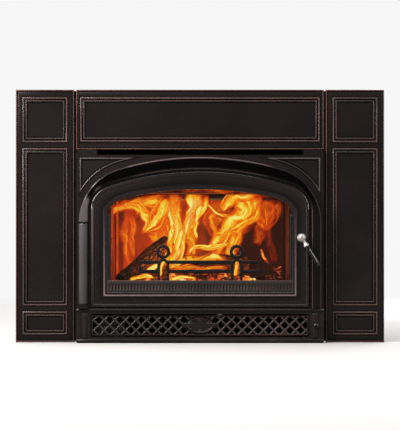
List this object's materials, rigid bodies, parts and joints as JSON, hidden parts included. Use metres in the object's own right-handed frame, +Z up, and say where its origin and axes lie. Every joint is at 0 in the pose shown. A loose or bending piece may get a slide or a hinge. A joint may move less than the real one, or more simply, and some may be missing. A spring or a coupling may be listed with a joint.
{
  "type": "fireplace insert",
  "caption": "Wood-burning fireplace insert with a cast surround, an arched glass door with a latch, a hinged lattice grille, a brick-lined firebox, andirons and a fan",
  "frame": {"origin": "on the hearth under the base plate, on the centre line, in the plane of the surround's back", "axes": "+X to the right seen from the room, +Y into the fireplace, +Z up"},
  "size_m": [1.0856, 0.4927, 0.7438],
  "materials": {
    "enamel": "brown-black gloss enamel on cast iron",
    "dark_enamel": "near-black gloss enamel",
    "cast_iron": "bare dark iron, heat blued",
    "nickel": "polished nickel plate",
    "steel": "plain steel",
    "sheet": "matt black heat-proof paint on steel sheet",
    "galvanised": "galvanised sheet",
    "firebrick": "sooty refractory brick",
    "wood": "charred split logs with bark",
    "embers": "glowing embers and ash",
    "rope": "woven glass-fibre seal",
    "glass": "clear heat-proof ceramic glass",
    "black_plastic": "black heat-proof plastic",
    "grip": "gloss black handle grip"
  },
  "bodies": {
    "root": {"surround_left_panel": "enamel", "surround_right_panel": "enamel", "surround_top_panel": "enamel", "surround_left_strap": "sheet", "surround_right_strap": "sheet", "front_casting": "enamel", "door_hinge_pin_top": "steel", "door_hinge_pin_bottom": "steel", "latch_keeper": "steel", "grille_pin_top": "steel", "grille_pin_bottom": "steel", "base_plate": "sheet", "jacket_wrap": "galvanised", "jacket_top": "galvanised", "firebox_floor": "sheet", "firebox_shell": "sheet", "firebox_top": "sheet", "flue_collar": "sheet", "firebox_stand": "sheet", "brick_left": "firebrick", "brick_right": "firebrick", "brick_floor": "firebrick", "brick_back": "firebrick", "baffle_board": "firebrick", "air_tube_1": "steel", "air_tube_2": "steel", "andiron_rack": "cast_iron", "ember_bed": "embers", "log_leaning": "wood", "log_back": "wood", "log_middle": "wood", "log_right": "wood", "air_duct": "sheet", "fan_housing": "sheet", "fan_motor": "sheet", "control_plate": "sheet", "power_inlet": "black_plastic"},
    "door": {"door_casting": "enamel", "door_glass": "glass", "glass_tape": "rope", "door_rope": "rope", "glass_retainer": "steel", "fluted_strip": "sheet", "door_hinge_column": "dark_enamel"},
    "latch": {"handle_hub": "nickel", "handle_neck": "nickel", "handle_grip": "grip", "latch_spindle": "steel", "latch_pawl": "steel", "spindle_nut": "steel"},
    "grille": {"grille_frame": "enamel", "grille_lattice": "enamel", "grille_knob": "dark_enamel"},
    "air": {"air_shutter": "steel", "air_lever": "nickel"},
    "rotor": {"fan_rotor": "galvanised"},
    "speed_knob": {"fan_speed_knob": "black_plastic"},
    "rocker": {"fan_switch": "black_plastic"}
  },
  "joints": [
    {"name": "door_hinge", "type": "hinge", "parent": "root", "child": "door", "pos_m": [-0.342, -0.0495, 0.23], "axis": [0, 0, -1], "range_deg": [0, 110]},
    {"name": "latch_turn", "type": "hinge", "parent": "door", "child": "latch", "pos_m": [0.297, -0.068, 0.3081], "axis": [0, -1, 0], "range_deg": [0, 70]},
    {"name": "grille_hinge", "type": "hinge", "parent": "root", "child": "grille", "pos_m": [-0.347, -0.041, 0.05], "axis": [0, 0, -1], "range_deg": [0, 100]},
    {"name": "air_slide", "type": "slide", "parent": "root", "child": "air", "axis": [1, 0, 0], "range_m": [-0.035, 0.035]},
    {"name": "fan_spin", "type": "hinge", "parent": "root", "child": "rotor", "pos_m": [0, 0.112, 0.0388], "axis": [1, 0, 0], "continuous": true},
    {"name": "speed_turn", "type": "hinge", "parent": "root", "child": "speed_knob", "pos_m": [-0.283, -0.022, 0.0412], "axis": [0, -1, 0], "range_deg": [0, 300]},
    {"name": "rocker_tilt", "type": "hinge", "parent": "root", "child": "rocker", "pos_m": [-0.241, -0.021, 0.0412], "axis": [1, 0, 0], "range_deg": [-8, 8]}
  ]
}
